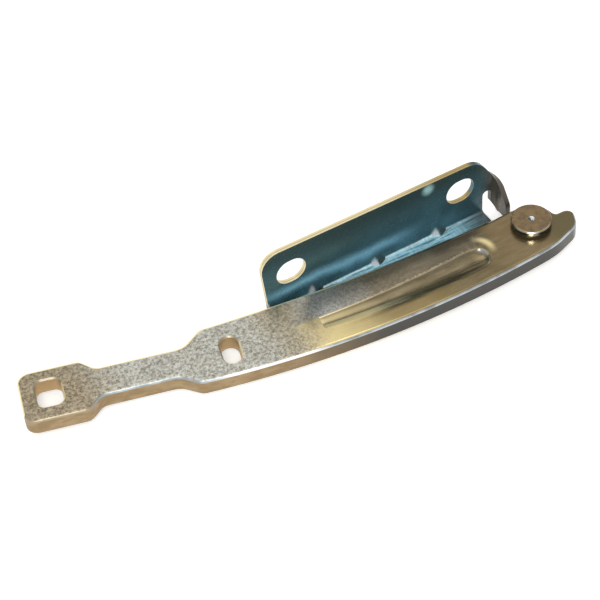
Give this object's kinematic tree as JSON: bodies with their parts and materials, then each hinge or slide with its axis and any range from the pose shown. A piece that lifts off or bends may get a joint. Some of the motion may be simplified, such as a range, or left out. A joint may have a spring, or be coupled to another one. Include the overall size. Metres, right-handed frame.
{
  "type": "car bonnet hinge",
  "caption": "Bonnet hinge: folded sheet bracket with slots and a stop tab, and a thick curved arm with a pressed groove, swinging on a riveted pivot.",
  "frame": {"origin": "middle of the bracket's two slots, on the face that bolts to the car body", "axes": "+X along the slots towards the pivot, +Y out of the mounting face, +Z the way the rivet head looks"},
  "size_m": [0.2715, 0.0683, 0.038],
  "materials": {
    "plated_sheet": "zinc plated with a bluish clear passivate, glossy",
    "plated_plate": "zinc plated over a shot-blasted blank, with a pale straw tint",
    "rivet_steel": "plated steel with a straw tint, satin",
    "bush_steel": "plain sintered steel, oiled"
  },
  "bodies": {
    "bracket_body": {"bracket": "plated_sheet", "pivot_rivet": "rivet_steel", "thrust_washer": "bush_steel"},
    "arm_body": {"arm": "plated_plate", "pivot_bush": "bush_steel"}
  },
  "joints": [
    {"name": "arm_swing", "type": "hinge", "parent": "bracket_body", "child": "arm_body", "pos_m": [0.0675, -0.0298, -0.01505], "axis": [0, 0, 1], "range_deg": [0, 84]}
  ]
}
